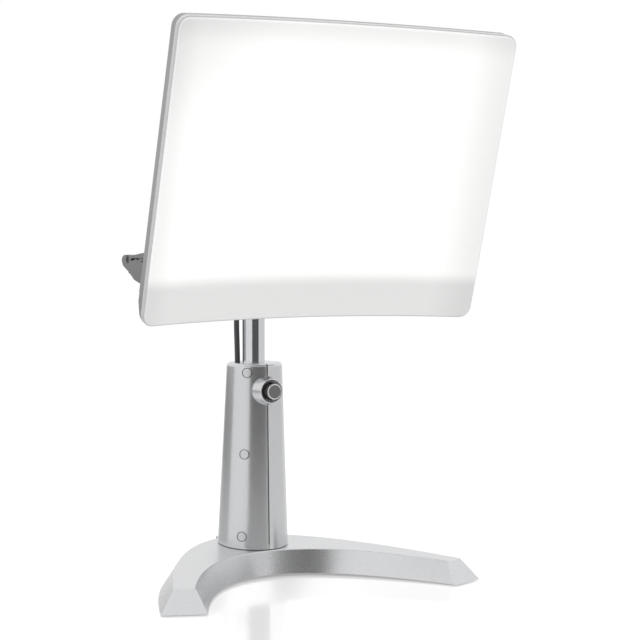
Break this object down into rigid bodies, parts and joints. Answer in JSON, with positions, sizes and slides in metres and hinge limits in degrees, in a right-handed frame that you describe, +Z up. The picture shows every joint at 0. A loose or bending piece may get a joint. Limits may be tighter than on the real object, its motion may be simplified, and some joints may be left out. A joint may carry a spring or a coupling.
{
  "type": "light therapy lamp",
  "caption": "Desk lamp for light therapy: a wide curved light panel that tilts on a yoke, on a telescoping column over a splayed arch-shaped base.",
  "frame": {"origin": "on the floor plane, on the axis of the mast, at the middle of the rubber foot under it", "axes": "+Z up along the mast, -Y to the front where the panel shines, +X to the viewer's right"},
  "size_m": [0.41, 0.2974, 0.6168],
  "materials": {
    "black_plastic": "matte",
    "black_rubber": "matte",
    "black_sheet": "black powder coat",
    "bright_steel": "zinc plated",
    "button_grey": "satin",
    "cast_weight": "as cast, primed",
    "dark_grey": "fine matte",
    "dark_metal": "dark anodised",
    "dark_screw": "black oxide",
    "green_board": "solder mask",
    "grey_plug": "fine matte",
    "lead_jacket": "semi-matte jacket",
    "led_phosphor": "phosphor",
    "lit_diffuser": "opal, lit from behind",
    "mast_chrome": "polished",
    "rocker_black": "gloss",
    "silver_base": "silver paint, satin",
    "silver_column": "silver paint, satin",
    "silver_shell": "silver paint, satin",
    "silver_trim": "silver paint, satin",
    "tray_aluminium": "white reflective coat",
    "white_board": "white solder mask",
    "white_plastic": "matte"
  },
  "bodies": {
    "base": {"base_cover": "silver_base", "base_plate": "black_sheet", "base_weight": "cast_weight", "rubber_feet": "black_rubber", "base_screws": "bright_steel", "mast_socket": "bright_steel", "flange_bolts": "bright_steel", "column_shell_left": "silver_column", "column_shell_right": "silver_column", "column_screw_plugs": "grey_plug", "column_screws": "bright_steel", "power_inlet": "black_plastic", "lead_slack": "lead_jacket", "lead_rise": "lead_jacket", "lever_pin": "bright_steel", "lever_holders": "bright_steel"},
    "button": {"release_button": "button_grey"},
    "lever": {"latch_lever": "bright_steel"},
    "mast": {"mast_tube": "mast_chrome", "mast_plug": "black_plastic", "yoke_hub": "dark_grey", "yoke": "dark_metal", "yoke_screws": "bright_steel", "pivot_screws": "bright_steel", "friction_washers": "black_plastic", "pivot_nuts": "bright_steel", "lead": "lead_jacket"},
    "head": {"diffuser": "lit_diffuser", "bezel": "silver_trim", "inner_frame": "white_plastic", "led_tray": "tray_aluminium", "led_strips": "white_board", "leds": "led_phosphor", "head_back_shell": "silver_shell", "head_screws": "dark_screw", "driver_housing": "dark_grey", "driver_board": "green_board", "board_standoffs": "white_plastic", "switch_body": "black_plastic", "lead_tail": "lead_jacket", "cable_gland": "black_rubber", "tilt_ear_left": "dark_grey", "tilt_ear_right": "dark_grey"},
    "power_rocker": {"rocker": "rocker_black"}
  },
  "joints": [
    {"name": "height_slide", "type": "slide", "parent": "base", "child": "mast", "axis": [0, 0, 1], "range_m": [0, 0.14], "deforming": ["lead_rise"]},
    {"name": "button_press", "type": "slide", "parent": "base", "child": "button", "axis": [0, 1, 0], "range_m": [0, 0.004], "stiffness_N_per_m": 900, "springref_m": -0.004},
    {"name": "lever_turn", "type": "hinge", "parent": "base", "child": "lever", "pos_m": [0, -0.0195, 0.2005], "axis": [-1, 0, 0], "range_deg": [0, 18.5]},
    {"name": "head_tilt", "type": "hinge", "parent": "mast", "child": "head", "pos_m": [0, -0.1001, 0.3662], "axis": [1, 0, 0], "range_deg": [-20, 10]},
    {"name": "switch_rock", "type": "hinge", "parent": "head", "child": "power_rocker", "pos_m": [0.05, -0.11334, 0.39617], "axis": [0, 0.2833, -0.959], "range_deg": [0, 14]}
  ],
  "couplings": [
    {"joint": "lever_turn", "follows": "button_press", "rad_per_m": 76.923}
  ]
}
